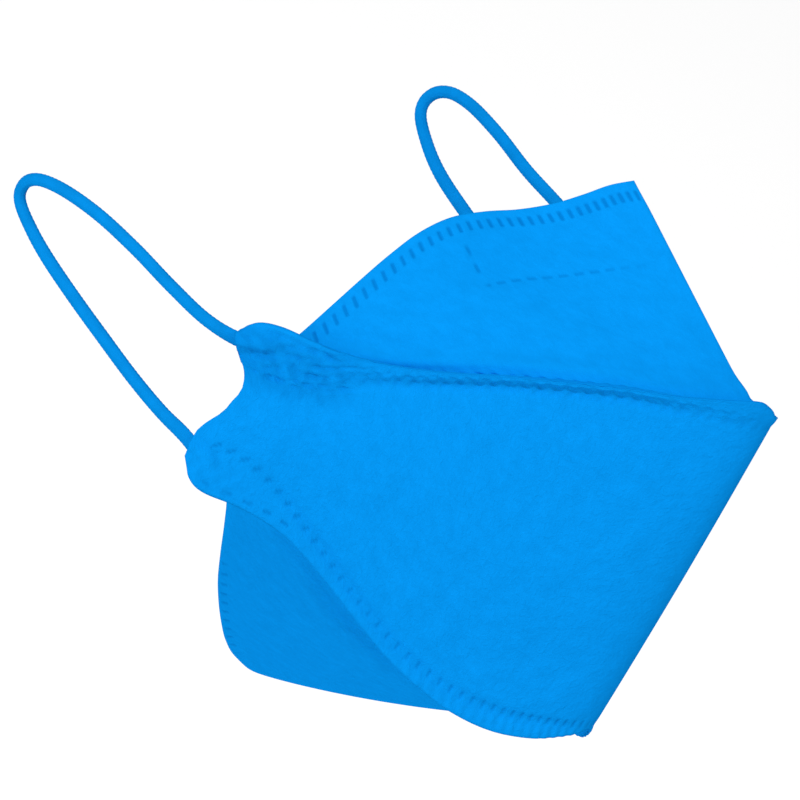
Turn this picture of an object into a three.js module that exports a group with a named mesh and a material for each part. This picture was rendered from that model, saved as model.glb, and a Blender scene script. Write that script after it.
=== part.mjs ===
// Disposable respirator of the folding three-panel kind, opened into its worn shape.
// Millimetres. +Z is up, -Y is the front of the face, X runs across the face.
// The body is symmetric about X = 0. The origin is the inside of the nose crease,
// at the middle of the upper panel's free edge, where it rests on the bridge of the nose.
import * as THREE from 'three';

// ---------- driving dimensions ----------
const WALL = 1.0;          // thickness of one pressed, welded panel
const GAP = 0.9;           // clearance between two panels that lie face to face
const CORD = 2.4;          // thickness of the elastic of an ear loop
const CORD_SIDES = 8;
const CORD_STEPS = 40;
const HALF_COLUMNS = 30;   // columns of facets from the centre line to the tab
const MIDDLE_ROWS = 8;     // rows of facets between the two seams of the middle panel
const UPPER_ROWS = 8;      // rows of facets of the upper panel behind its fold
const CHIN_ROWS = 9;       // rows of facets of the chin panel behind its fold
const FAR_HALF = { closer: 6.0, lower: 3.2, from: 20, to: 60 };
const TUCK = 0.5;          // how much nearer the crease the folded panels of that half stand
const NOSE = { y: 40.6, z: 99.9 };   // nose crease, measured from the centre of the lower seam

// A seam seen from above is a hyperbola: a rounded front of the given radius
// that straightens into two legs running back to the tabs.
const TOP_SEAM = { frontY: -8.3, slope: 1.5, radius: 5.2 };
const LOWER_SEAM = { frontY: 0.0, slope: 1.2, radius: 7.0 };

// Blue shades of the outer face
const PANEL_BLUE = 0x0596f3;
const LOOP_BLUE = 0x0a87dc;

// ---------- one row per station from the centre line (0) to the end of the tab (1) ----------
// top / low: where the two seams of the middle panel pass; flanges: how far the welded
// border reaches past each seam; lean: how many degrees the top flange tips outward. The top
// flange of the +X half curls differently beside the centre, so it has its own two columns.
const SEAMS = [
  { s: 0.000, topX: 0.0, topZ: 75.4, lowX: 0.0, lowZ: -0.9, topFlange: 2.5, lean: 14, farFlange: 2.5, farLean: 14, lowFlange: 1.2 },
  { s: 0.022, topX: -2.1, topZ: 75.6, lowX: -2.2, lowZ: -0.9, topFlange: 4.4, lean: 12, farFlange: 2.5, farLean: 12, lowFlange: 2.0 },
  { s: 0.050, topX: -4.7, topZ: 75.8, lowX: -5.0, lowZ: -1.0, topFlange: 5.5, lean: 12, farFlange: 2.4, farLean: 8, lowFlange: 2.9 },
  { s: 0.110, topX: -9.5, topZ: 75.4, lowX: -9.9, lowZ: -1.5, topFlange: 4.4, lean: 14, farFlange: 2.5, farLean: 4, lowFlange: 4.2 },
  { s: 0.180, topX: -14.2, topZ: 74.1, lowX: -15.3, lowZ: -1.9, topFlange: 3.4, lean: 20, farFlange: 2.8, farLean: 3, lowFlange: 4.6 },
  { s: 0.260, topX: -19.2, topZ: 72.5, lowX: -21.0, lowZ: -1.0, topFlange: 2.9, lean: 24, farFlange: 3.0, farLean: 4, lowFlange: 4.3 },
  { s: 0.340, topX: -23.8, topZ: 70.1, lowX: -26.3, lowZ: 1.5, topFlange: 2.7, lean: 25, farFlange: 3.2, farLean: 8, lowFlange: 3.9 },
  { s: 0.420, topX: -28.2, topZ: 67.5, lowX: -31.3, lowZ: 5.1, topFlange: 2.9, lean: 24, farFlange: 3.4, farLean: 14, lowFlange: 3.7 },
  { s: 0.500, topX: -32.5, topZ: 64.7, lowX: -35.9, lowZ: 9.8, topFlange: 3.2, lean: 22, farFlange: 3.5, farLean: 18, lowFlange: 3.7 },
  { s: 0.580, topX: -36.8, topZ: 61.4, lowX: -40.3, lowZ: 14.8, topFlange: 3.5, lean: 20, farFlange: 3.7, farLean: 18, lowFlange: 3.9 },
  { s: 0.660, topX: -41.1, topZ: 58.3, lowX: -44.7, lowZ: 19.9, topFlange: 3.9, lean: 17, farFlange: 3.9, farLean: 17, lowFlange: 4.3 },
  { s: 0.740, topX: -45.4, topZ: 55.4, lowX: -49.0, lowZ: 25.0, topFlange: 4.6, lean: 11, farFlange: 4.6, farLean: 11, lowFlange: 5.5 },
  { s: 0.820, topX: -49.7, topZ: 52.9, lowX: -53.3, lowZ: 29.7, topFlange: 5.8, lean: 5, farFlange: 5.8, farLean: 5, lowFlange: 7.9 },
  { s: 0.880, topX: -53.0, topZ: 51.5, lowX: -56.9, lowZ: 32.5, topFlange: 7.0, lean: 3, farFlange: 7.0, farLean: 3, lowFlange: 9.6 },
  { s: 0.940, topX: -56.4, topZ: 50.6, lowX: -60.8, lowZ: 33.8, topFlange: 7.8, lean: 0, farFlange: 7.8, farLean: 0, lowFlange: 10.2 },
  { s: 0.975, topX: -58.7, topZ: 50.4, lowX: -63.1, lowZ: 33.6, topFlange: 6.8, lean: 0, farFlange: 6.8, farLean: 0, lowFlange: 8.2 },
  { s: 1.000, topX: -60.3, topZ: 50.3, lowX: -64.7, lowZ: 32.9, topFlange: 3.6, lean: 0, farFlange: 3.0, farLean: 4, lowFlange: 3.8 },
];

// how much further in than its neighbour's wall the fold of a panel starts, beside the centre
// line, and how much is added on the half that stands closer
const FOLD_SET_BACK = { upper: 2.6, chin: 0.0, reach: 0.18, closerHalf: 1.5 };

// free edges that meet the face: over the nose and cheeks, and under the chin
const FACE_EDGES = [
  { s: 0.000, noseX: 0.0, noseY: 40.6, noseZ: 99.9, chinX: 0.0, chinY: 76.2, chinZ: -42.3 },
  { s: 0.050, noseX: -2.3, noseY: 43.3, noseZ: 97.4, chinX: -4.2, chinY: 79.2, chinZ: -39.8 },
  { s: 0.110, noseX: -4.9, noseY: 46.4, noseZ: 93.6, chinX: -8.6, chinY: 79.8, chinZ: -35.4 },
  { s: 0.180, noseX: -7.9, noseY: 49.9, noseZ: 89.7, chinX: -13.4, chinY: 79.3, chinZ: -29.6 },
  { s: 0.260, noseX: -12.0, noseY: 54.0, noseZ: 86.3, chinX: -18.5, chinY: 78.6, chinZ: -22.6 },
  { s: 0.340, noseX: -16.8, noseY: 58.0, noseZ: 83.9, chinX: -23.1, chinY: 77.8, chinZ: -15.5 },
  { s: 0.420, noseX: -22.2, noseY: 61.0, noseZ: 81.4, chinX: -26.9, chinY: 77.1, chinZ: -7.9 },
  { s: 0.500, noseX: -27.6, noseY: 62.8, noseZ: 77.6, chinX: -30.4, chinY: 76.4, chinZ: -0.3 },
  { s: 0.580, noseX: -32.7, noseY: 63.8, noseZ: 72.6, chinX: -34.0, chinY: 75.7, chinZ: 6.9 },
  { s: 0.660, noseX: -37.6, noseY: 64.4, noseZ: 67.4, chinX: -38.6, chinY: 74.7, chinZ: 13.6 },
  { s: 0.740, noseX: -42.3, noseY: 64.9, noseZ: 62.2, chinX: -43.8, chinY: 73.2, chinZ: 19.7 },
  { s: 0.820, noseX: -46.9, noseY: 65.4, noseZ: 57.1, chinX: -49.4, chinY: 71.4, chinZ: 25.4 },
  { s: 0.880, noseX: -50.2, noseY: 65.9, noseZ: 53.3, chinX: -53.2, chinY: 69.5, chinZ: 30.0 },
  { s: 0.940, noseX: -53.3, noseY: 66.5, noseZ: 49.6, chinX: -56.4, chinY: 67.9, chinZ: 34.5 },
  { s: 0.975, noseX: -54.9, noseY: 67.0, noseZ: 47.4, chinX: -57.9, chinY: 67.0, chinZ: 37.2 },
  { s: 1.000, noseX: -56.0, noseY: 67.3, noseZ: 46.0, chinX: -58.7, chinY: 66.5, chinZ: 38.8 },
];

// fish-tail notch of a tab: how deep its end is cut in, from the lower seam (0) to the top seam (1)
const NOTCH = [
  { v: 0.00, depth: 0.0 },
  { v: 0.15, depth: 1.0 },
  { v: 0.34, depth: 3.5 },
  { v: 0.47, depth: 4.2 },
  { v: 0.62, depth: 4.9 },
  { v: 0.77, depth: 4.5 },
  { v: 0.90, depth: 3.4 },
  { v: 1.00, depth: 1.7 },
];
const NOTCH_REACH = 0.16;  // share of the half width over which the columns close up to the notch

// how far each panel swells out of the straight line between its seam and its free edge
const SWELL = [
  { s: 0.000, middle: 0.3, upper: 0.0, chin: 2.6 },
  { s: 0.150, middle: 1.2, upper: 0.0, chin: 2.9 },
  { s: 0.400, middle: 2.0, upper: 1.4, chin: 2.6 },
  { s: 0.700, middle: 1.6, upper: 1.6, chin: 1.6 },
  { s: 0.900, middle: 0.5, upper: 0.2, chin: 0.5 },
  { s: 1.000, middle: 0.0, upper: 0.0, chin: 0.0 },
];

// centre line of the ear loop at the -X tab, from the upper lobe round the ear to the lower
// lobe; rise: how much higher the same point of the other loop stands, which is also drawn
// FAR_LOOP_STRETCH times as far back
const FAR_LOOP_STRETCH = 1.03;
const EAR_LOOP = [
  { x: -52.5, y: 68.8, z: 51.0, rise: 0.0 },
  { x: -55.9, y: 74.0, z: 50.7, rise: 0.0 },
  { x: -58.3, y: 79.8, z: 51.3, rise: 0.0 },
  { x: -59.5, y: 89.2, z: 52.8, rise: 0.0 },
  { x: -60.1, y: 100.0, z: 54.6, rise: -0.2 },
  { x: -61.3, y: 110.8, z: 56.0, rise: 0.5 },
  { x: -62.2, y: 120.2, z: 55.7, rise: 1.6 },
  { x: -62.3, y: 125.4, z: 54.2, rise: 2.3 },
  { x: -61.9, y: 128.0, z: 52.1, rise: 2.7 },
  { x: -61.3, y: 129.2, z: 49.8, rise: 2.8 },
  { x: -60.9, y: 129.3, z: 47.8, rise: 2.8 },
  { x: -60.5, y: 128.3, z: 45.9, rise: 2.7 },
  { x: -60.1, y: 123.6, z: 42.6, rise: 1.8 },
  { x: -60.1, y: 118.6, z: 40.4, rise: 0.8 },
  { x: -60.5, y: 109.4, z: 37.7, rise: -0.3 },
  { x: -60.9, y: 98.8, z: 35.0, rise: -1.0 },
  { x: -60.8, y: 88.3, z: 32.1, rise: -1.0 },
  { x: -61.2, y: 78.9, z: 30.6, rise: -0.6 },
  { x: -61.0, y: 72.2, z: 29.8, rise: 0.0 },
  { x: -59.8, y: 67.0, z: 27.8, rise: 0.0 },
];

// ---------- helpers ----------
// smooth value of one column of a table at position t; even or odd about the first row
function column(table, key, name, t, odd) {
  const rows = table.map(r => [r[key], r[name]]);
  const mirror = rows.slice(1, 3).map(([k, v]) => [-k, odd ? -v : v]).reverse();
  const all = [...mirror, ...rows];
  let i = 0;
  while (i < all.length - 2 && t > all[i + 1][0]) i++;
  const slope = j => {
    const a = all[Math.max(j - 1, 0)], b = all[Math.min(j + 1, all.length - 1)];
    return (b[1] - a[1]) / (b[0] - a[0]);
  };
  const [k0, v0] = all[i], [k1, v1] = all[i + 1];
  const h = k1 - k0, u = THREE.MathUtils.clamp((t - k0) / h, 0, 1), u2 = u * u, u3 = u2 * u;
  return (2 * u3 - 3 * u2 + 1) * v0 + (u3 - 2 * u2 + u) * h * slope(i)
    + (3 * u2 - 2 * u3) * v1 + (u3 - u2) * h * slope(i + 1);
}

function planY(seam, x) {
  const rr = seam.slope * seam.slope * seam.radius;
  return seam.frontY - rr + Math.hypot(rr, seam.slope * x);
}

// seam points at station s (0..1, -X side)
function topSeam(s) {
  const x = column(SEAMS, 's', 'topX', s, true);
  return new THREE.Vector3(x, planY(TOP_SEAM, x), column(SEAMS, 's', 'topZ', s));
}
function lowSeam(s) {
  const x = column(SEAMS, 's', 'lowX', s, true);
  return new THREE.Vector3(x, planY(LOWER_SEAM, x), column(SEAMS, 's', 'lowZ', s));
}
const unit = (a, b) => new THREE.Vector3().subVectors(b, a).normalize();

// outward normal of the middle panel at station s
function middleNormal(s) {
  const d = 0.004, s0 = Math.max(s - d, -1), s1 = Math.min(s + d, 1);
  const at = q => q < 0 ? mirrorX(lowSeam(-q).lerp(topSeam(-q), 0.5)) : lowSeam(q).lerp(topSeam(q), 0.5);
  const along = unit(at(s0), at(s1));
  const up = unit(lowSeam(Math.abs(s)), topSeam(Math.abs(s)));
  return new THREE.Vector3().crossVectors(up, along).normalize();
}
const mirrorX = p => new THREE.Vector3(-p.x, p.y, p.z);

// The +X half is the mirror image, drawn a little closer and lower beside the centre line,
// as a folded body springs open unevenly.
function farSide(p, tuck) {
  const x = -p.x, S = THREE.MathUtils.smoothstep;
  const closer = FAR_HALF.closer * S(x, 0, FAR_HALF.from) * (1 - S(x, FAR_HALF.from, FAR_HALF.to))
    + tuck * S(x, 2, 6) * (1 - S(x, 14, 30));
  const lower = FAR_HALF.lower * S(x, 0, FAR_HALF.from / 2) * (1 - S(x, FAR_HALF.from, FAR_HALF.to));
  return new THREE.Vector3(x - closer, p.y, p.z - lower);
}

// outer face of the middle panel; v runs 0..1 from seam to seam, beyond that it is flange in mm
function middlePoint(s, v, below, above, lean) {
  const cut = above || below ? 0 : column(NOTCH, 'v', 'depth', v) / 104;
  const near = THREE.MathUtils.clamp((s - (1 - NOTCH_REACH)) / NOTCH_REACH, 0, 1);
  const inside = s - cut * near;
  const low = lowSeam(inside), top = topSeam(inside);
  const up = unit(low, top), out = middleNormal(inside);
  if (below) return low.addScaledVector(up, -below);
  if (above) {
    const tip = THREE.MathUtils.degToRad(lean);
    return top.addScaledVector(up, above * Math.cos(tip)).addScaledVector(out, above * Math.sin(tip));
  }
  const swell = column(SWELL, 's', 'middle', inside) * Math.sin(Math.PI * v);
  return low.lerp(top, v).addScaledVector(out, swell);
}

// columns from the centre line to the tab, closer together at both
const stations = [];
for (let i = 0; i <= HALF_COLUMNS; i++) {
  const t = i / HALF_COLUMNS;
  stations.push(t - 0.07 * Math.sin(2 * Math.PI * t));
}

// grid of rows over both halves: rowsAt(s, which half) gives the points of one column of the -X half
function wholeGrid(rowsAt, tuck = 0) {
  const half = stations.map(s => rowsAt(s, 'near'));
  const other = stations.slice(1).reverse().map(s => rowsAt(s, 'far').map(p => farSide(p, tuck)));
  return [...other, ...half];          // from the +X tab to the -X tab
}

// closed sheet: the grid is one face and the other lies a wall thickness beyond it
function sheet(grid, wall) {
  const nc = grid.length, nr = grid[0].length;
  const at = (c, r) => grid[c][r];
  const faceNormal = (c, r) => {
    const d1 = unit(at(c, r), at(c + 1, r + 1)), d2 = unit(at(c + 1, r), at(c, r + 1));
    return new THREE.Vector3().crossVectors(d1, d2).normalize();
  };
  const far = grid.map((col, c) => col.map((p, r) => {
    const around = [];
    for (const [dc, dr] of [[-1, -1], [0, -1], [-1, 0], [0, 0]]) {
      const cc = c + dc, rr = r + dr;
      if (cc >= 0 && cc < nc - 1 && rr >= 0 && rr < nr - 1) around.push(faceNormal(cc, rr));
    }
    const mean = around.reduce((a, b) => a.add(b), new THREE.Vector3()).normalize();
    const lean = Math.max(0.55, Math.min(...around.map(n => Math.abs(faceDot(n, mean)))));
    return p.clone().addScaledVector(mean, wall / lean);
  }));
  const pos = [];
  for (const g of [grid, far]) for (const col of g) for (const p of col) pos.push(p.x, p.y, p.z);
  const id = (side, c, r) => side * nc * nr + c * nr + r;
  const idx = [];
  const quad = (a, b, c, d) => idx.push(a, b, c, a, c, d);
  for (let c = 0; c < nc - 1; c++) for (let r = 0; r < nr - 1; r++) {
    quad(id(0, c, r), id(0, c, r + 1), id(0, c + 1, r + 1), id(0, c + 1, r));
    quad(id(1, c, r), id(1, c + 1, r), id(1, c + 1, r + 1), id(1, c, r + 1));
  }
  for (let c = 0; c < nc - 1; c++) {
    quad(id(0, c, 0), id(0, c + 1, 0), id(1, c + 1, 0), id(1, c, 0));
    quad(id(0, c + 1, nr - 1), id(0, c, nr - 1), id(1, c, nr - 1), id(1, c + 1, nr - 1));
  }
  for (let r = 0; r < nr - 1; r++) {
    quad(id(0, 0, r + 1), id(0, 0, r), id(1, 0, r), id(1, 0, r + 1));
    quad(id(0, nc - 1, r), id(0, nc - 1, r + 1), id(1, nc - 1, r + 1), id(1, nc - 1, r));
  }
  return closed(pos, idx);
}
const faceDot = (a, b) => a.dot(b);

// geometry with its faces turned outward, moved so that the nose crease is the origin
function closed(pos, idx) {
  const P = i => new THREE.Vector3(pos[3 * i], pos[3 * i + 1], pos[3 * i + 2]);
  let volume = 0;
  for (let i = 0; i < idx.length; i += 3) {
    volume += P(idx[i]).dot(P(idx[i + 1]).cross(P(idx[i + 2]))) / 6;
  }
  if (volume < 0) for (let i = 0; i < idx.length; i += 3) {
    const t = idx[i + 1]; idx[i + 1] = idx[i + 2]; idx[i + 2] = t;
  }
  const g = new THREE.BufferGeometry();
  g.setAttribute('position', new THREE.Float32BufferAttribute(pos, 3));
  g.setIndex(idx);
  g.translate(0, -NOSE.y, -NOSE.z);
  g.computeVertexNormals();
  return g;
}

function fabric(colour, roughness) {
  return new THREE.MeshStandardMaterial({ color: colour, roughness, metalness: 0 });
}
function named(name, geometry, material) {
  const m = new THREE.Mesh(geometry, material);
  m.name = name;
  return m;
}

// ---------- panels ----------
// middle panel: low flange edge, low seam, rows up to the top seam, top flange edge
const flangeTop = (s, half, short) => middlePoint(s, 1, 0,
  column(SEAMS, 's', half === 'far' ? 'farFlange' : 'topFlange', s) - short,
  column(SEAMS, 's', half === 'far' ? 'farLean' : 'lean', s));
const flangeLow = (s, short) => middlePoint(s, 0, column(SEAMS, 's', 'lowFlange', s) - short, 0, 0);

function middleColumn(s, half) {
  const rows = [flangeLow(s, 0)];
  for (let i = 0; i <= MIDDLE_ROWS; i++) rows.push(middlePoint(s, i / MIDDLE_ROWS, 0, 0, 0));
  rows.push(flangeTop(s, half, 0));
  return rows;
}

// a panel folded back behind the middle one: its outer face starts at the flange edge,
// runs to the seam, turns there and goes back to the face edge with a swell
function foldedColumn(s, seam, flange, edge, rows, swell, fullness, extra) {
  const back = 2 * WALL + GAP, out = middleNormal(s);
  const along = unit(seam, flange);
  const across = out.clone().addScaledVector(along, -out.dot(along)).normalize();
  const turn = across.clone().add(out).normalize();
  const seamPoint = seam.clone().addScaledVector(turn, -(back + extra) / turn.dot(out));
  const points = [flange.clone().addScaledVector(across, -back), seamPoint];
  const span = new THREE.Vector3().subVectors(edge, seamPoint);
  const normal = out.clone().addScaledVector(span, -out.dot(span) / span.lengthSq()).normalize();
  for (let i = 1; i <= rows; i++) {
    const v = i / rows;
    const lift = swell * Math.pow(Math.sin(Math.PI * Math.min(v, 0.999)), fullness);
    points.push(seamPoint.clone().addScaledVector(span, v).addScaledVector(normal, lift));
  }
  return points;
}
const edgePoint = (s, who) => new THREE.Vector3(
  column(FACE_EDGES, 's', who + 'X', s, true),
  column(FACE_EDGES, 's', who + 'Y', s),
  column(FACE_EDGES, 's', who + 'Z', s));

function setBack(s, who, half) {
  const S = THREE.MathUtils.smoothstep;
  return FOLD_SET_BACK[who] * (1 - S(s, 0, FOLD_SET_BACK.reach))
    + (half === 'far' ? FOLD_SET_BACK.closerHalf * S(s, 0, 0.06) * (1 - S(s, 0.14, 0.36)) : 0);
}
function upperColumn(s, half) {
  return foldedColumn(s, middlePoint(s, 1, 0, 0, 0), flangeTop(s, half, 0.3),
    edgePoint(s, 'nose'), UPPER_ROWS, column(SWELL, 's', 'upper', s), 1, setBack(s, 'upper', half));
}
function chinColumn(s, half) {
  return foldedColumn(s, middlePoint(s, 0, 0, 0, 0), flangeLow(s, 0.3),
    edgePoint(s, 'chin'), CHIN_ROWS, column(SWELL, 's', 'chin', s), 0.8, setBack(s, 'chin', half));
}

// ---------- ear loops ----------
function earLoop(side) {
  const startY = EAR_LOOP[0].y, far = side > 0;
  const line = new THREE.CatmullRomCurve3(EAR_LOOP.map(p => new THREE.Vector3(
    side * -p.x,
    startY + (p.y - startY) * (far ? FAR_LOOP_STRETCH : 1) - NOSE.y,
    p.z + (far ? p.rise : 0) - NOSE.z)), false, 'centripetal');
  const ring = new THREE.Shape();
  for (let i = 0; i < CORD_SIDES; i++) {
    const a = 2 * Math.PI * i / CORD_SIDES, x = CORD / 2 * Math.cos(a), y = CORD / 2 * Math.sin(a);
    if (i) ring.lineTo(x, y); else ring.moveTo(x, y);
  }
  ring.closePath();
  return new THREE.ExtrudeGeometry(ring, { steps: CORD_STEPS, bevelEnabled: false, extrudePath: line });
}

const respirator = new THREE.Group();
respirator.name = 'disposable_respirator';
respirator.add(named('middle_panel', sheet(wholeGrid(middleColumn), WALL), fabric(PANEL_BLUE, 0.85)));
respirator.add(named('upper_panel', sheet(wholeGrid(upperColumn, TUCK), WALL), fabric(PANEL_BLUE, 0.85)));
respirator.add(named('chin_panel', sheet(wholeGrid(chinColumn, TUCK), -WALL), fabric(PANEL_BLUE, 0.85)));
respirator.add(named('ear_loop_left', earLoop(1), fabric(LOOP_BLUE, 0.8)));
respirator.add(named('ear_loop_right', earLoop(-1), fabric(LOOP_BLUE, 0.8)));

export default respirator;
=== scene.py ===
"""Looks of the disposable respirator: three nonwoven panels with embossed welds and two knitted
elastic ear loops, built in mesh code in the frame of the CAD part, with light and camera."""
import math

import bpy
import numpy as np
from mathutils import Matrix, Vector


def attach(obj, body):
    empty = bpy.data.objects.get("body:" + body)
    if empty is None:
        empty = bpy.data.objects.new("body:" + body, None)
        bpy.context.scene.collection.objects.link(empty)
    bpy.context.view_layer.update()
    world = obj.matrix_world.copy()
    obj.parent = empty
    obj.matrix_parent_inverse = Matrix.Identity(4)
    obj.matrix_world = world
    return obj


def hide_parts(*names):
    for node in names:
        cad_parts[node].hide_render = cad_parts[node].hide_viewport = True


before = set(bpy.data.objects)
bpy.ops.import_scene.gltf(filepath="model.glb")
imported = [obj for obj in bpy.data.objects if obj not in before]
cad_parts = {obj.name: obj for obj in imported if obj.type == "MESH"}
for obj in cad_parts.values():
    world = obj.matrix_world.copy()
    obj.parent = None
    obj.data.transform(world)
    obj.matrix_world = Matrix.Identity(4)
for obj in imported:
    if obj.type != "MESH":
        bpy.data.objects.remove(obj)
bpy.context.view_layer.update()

# ------------------------------------------------------------------ sizes, mm
WALL = 0.80            # thickness of a panel away from its welds and edges
GAP = 0.06             # clearance of two panels that are welded face to face
EDGE = 0.32            # thickness at a cut edge, which the weld has pressed
CORD = 2.35            # width of the ear loop's elastic
HALF_COLUMNS = 400
FAR_HALF = dict(closer=6.0, lower=3.2, start=20.0, end=60.0)
NOSE = np.array([0.0, 40.6, 99.9])
TOP_SEAM = dict(front=-8.3, slope=1.5, radius=5.2)
LOWER_SEAM = dict(front=0.0, slope=1.2, radius=7.0)
NOTCH_REACH = 0.16
FAR_LOOP_STRETCH = 1.03


def table(names, rows):
    """Columns of a table by name; the first column is the key the rows are sorted by."""
    a = np.array(rows, float)
    return {"key": a[:, 0], **{n: a[:, i] for i, n in enumerate(names.split())}}


SEAMS = table("s topX topZ lowX lowZ topFlange lean farFlange farLean lowFlange", [
    (0.000, 0.0, 75.4, 0.0, -0.9, 3.3, 14, 3.3, 14, 1.2),
    (0.022, -2.1, 75.6, -2.2, -0.9, 5.0, 12, 1.3, 12, 2.0),
    (0.050, -4.7, 75.8, -5.0, -1.0, 6.2, 12, 1.3, 8, 2.9),
    (0.110, -9.5, 75.4, -9.9, -1.5, 4.5, 14, 1.8, 4, 4.2),
    (0.180, -14.2, 74.1, -15.3, -1.9, 3.4, 20, 2.4, 3, 4.6),
    (0.260, -19.2, 72.5, -21.0, -1.0, 2.9, 24, 3.0, 4, 4.3),
    (0.340, -23.8, 70.1, -26.3, 1.5, 2.7, 25, 3.2, 8, 3.9),
    (0.420, -28.2, 67.5, -31.3, 5.1, 2.9, 24, 3.4, 14, 3.7),
    (0.500, -32.5, 64.7, -35.9, 9.8, 3.2, 22, 3.5, 18, 3.7),
    (0.580, -36.8, 61.4, -40.3, 14.8, 3.5, 20, 3.7, 18, 3.9),
    (0.660, -41.1, 58.3, -44.7, 19.9, 3.9, 17, 3.9, 17, 4.3),
    (0.740, -45.4, 55.4, -49.0, 25.0, 4.6, 11, 4.6, 11, 5.5),
    (0.820, -49.7, 52.9, -53.3, 29.7, 5.8, 5, 5.8, 5, 7.9),
    (0.880, -53.0, 51.5, -56.9, 32.5, 7.0, 3, 7.0, 3, 9.6),
    (0.940, -56.4, 50.6, -60.8, 33.8, 7.8, 0, 7.8, 0, 10.2),
    (0.975, -58.7, 50.4, -63.1, 33.6, 6.8, 0, 6.8, 0, 8.2),
    (1.000, -60.3, 50.3, -64.7, 32.9, 3.6, 0, 3.0, 4, 3.8),
])
FACE_EDGES = table("s noseX noseY noseZ chinX chinY chinZ", [
    (0.000, 0.0, 40.4, 99.9, 0.0, 76.2, -42.3),
    (0.050, -2.3, 43.4, 97.3, -4.2, 79.2, -39.8),
    (0.110, -4.9, 46.4, 93.6, -8.6, 79.8, -35.4),
    (0.180, -7.9, 49.9, 89.7, -13.4, 79.3, -29.6),
    (0.260, -12.0, 54.0, 86.3, -18.5, 78.6, -22.6),
    (0.340, -16.8, 58.0, 83.9, -23.1, 77.8, -15.5),
    (0.420, -22.2, 61.0, 81.4, -26.9, 77.1, -7.9),
    (0.500, -27.6, 62.8, 77.6, -30.4, 76.4, -0.3),
    (0.580, -32.7, 63.8, 72.6, -34.0, 75.7, 6.9),
    (0.660, -37.6, 64.4, 67.4, -38.6, 74.7, 13.6),
    (0.740, -42.3, 64.9, 62.2, -43.8, 73.2, 19.7),
    (0.820, -46.9, 65.4, 57.1, -49.4, 71.4, 25.4),
    (0.880, -50.2, 65.9, 53.3, -53.2, 69.5, 30.0),
    (0.940, -53.3, 66.5, 49.6, -56.4, 67.9, 34.5),
    (0.975, -54.9, 67.0, 47.4, -57.9, 67.0, 37.2),
    (1.000, -56.0, 67.3, 46.0, -58.7, 66.5, 38.8),
])
NOTCH = table("v depth", [
    (0.00, 0.0), (0.15, 1.0), (0.34, 3.5), (0.47, 4.2),
    (0.62, 4.9), (0.77, 4.5), (0.90, 3.4), (1.00, 1.7),
])
SWELL = table("s middle upper chin", [
    (0.000, 0.3, 0.0, 2.6),
    (0.150, 1.2, 0.0, 2.9),
    (0.400, 2.0, 1.4, 2.6),
    (0.700, 1.6, 1.6, 1.6),
    (0.900, 0.5, 0.2, 0.5),
    (1.000, 0.0, 0.0, 0.0),
])
EAR_LOOP = table("x y z rise", [
    (-52.5, 68.8, 51.0, 0.0), (-55.9, 74.0, 50.7, 0.0), (-58.3, 79.8, 51.3, 0.0),
    (-59.5, 89.2, 52.8, 0.0), (-60.1, 100.0, 54.6, -0.2), (-61.3, 110.8, 56.0, 0.5),
    (-62.2, 120.2, 55.7, 1.6), (-62.3, 125.4, 54.2, 2.3), (-61.9, 128.0, 52.1, 2.7),
    (-61.3, 129.2, 49.8, 2.8), (-60.9, 129.3, 47.8, 2.8), (-60.5, 128.3, 45.9, 2.7),
    (-60.1, 123.6, 42.6, 1.8), (-60.1, 118.6, 40.4, 0.8), (-60.5, 109.4, 37.7, -0.3),
    (-60.9, 98.8, 35.0, -1.0), (-60.8, 88.3, 32.1, -1.0), (-61.2, 78.9, 30.6, -0.6),
    (-61.0, 72.2, 29.8, 0.0), (-60.2, 66.9, 27.8, 0.0),
])

# ------------------------------------------------------------------ camera
VIEW_AXES = dict(                       # right, up and towards the camera, in the row frame
    right=(0.6428, -0.6825, 0.3478),
    up=(0.1462, 0.5550, 0.8189),
    back=(-0.75197, -0.47558, 0.45647),
)
SCALE = 5.15                            # image dots for each millimetre at the object
DISTANCE = 1300.0
IMAGE = 800
# place of the lower seam's centre in the image, from which the picture's centre follows
SEAM_DOT = (592.0, 722.0)


def make_camera():
    r, u, c = (np.array(VIEW_AXES[k]) for k in ("right", "up", "back"))
    centre = -(SEAM_DOT[0] - IMAGE / 2) / SCALE * r + (SEAM_DOT[1] - IMAGE / 2) / SCALE * u
    place = (centre + DISTANCE * c - NOSE) / 1000
    data = bpy.data.cameras.new("camera")
    data.sensor_width = 36.0
    data.sensor_fit = "HORIZONTAL"
    data.lens = SCALE * DISTANCE / IMAGE * data.sensor_width
    data.clip_start, data.clip_end = 0.05, 30.0
    cam = bpy.data.objects.new("camera", data)
    bpy.context.scene.collection.objects.link(cam)
    m = Matrix.Identity(4)
    for i in range(3):
        m[i][0], m[i][1], m[i][2], m[i][3] = r[i], u[i], c[i], place[i]
    cam.matrix_world = m
    bpy.context.scene.camera = cam
    return cam


make_camera()


# ------------------------------------------------------------------ small maths
def norm(a):
    return a / np.maximum(np.linalg.norm(a, axis=-1, keepdims=True), 1e-12)


def smooth(x, a, b):
    t = np.clip((x - a) / (b - a), 0, 1)
    return t * t * (3 - 2 * t)


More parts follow.
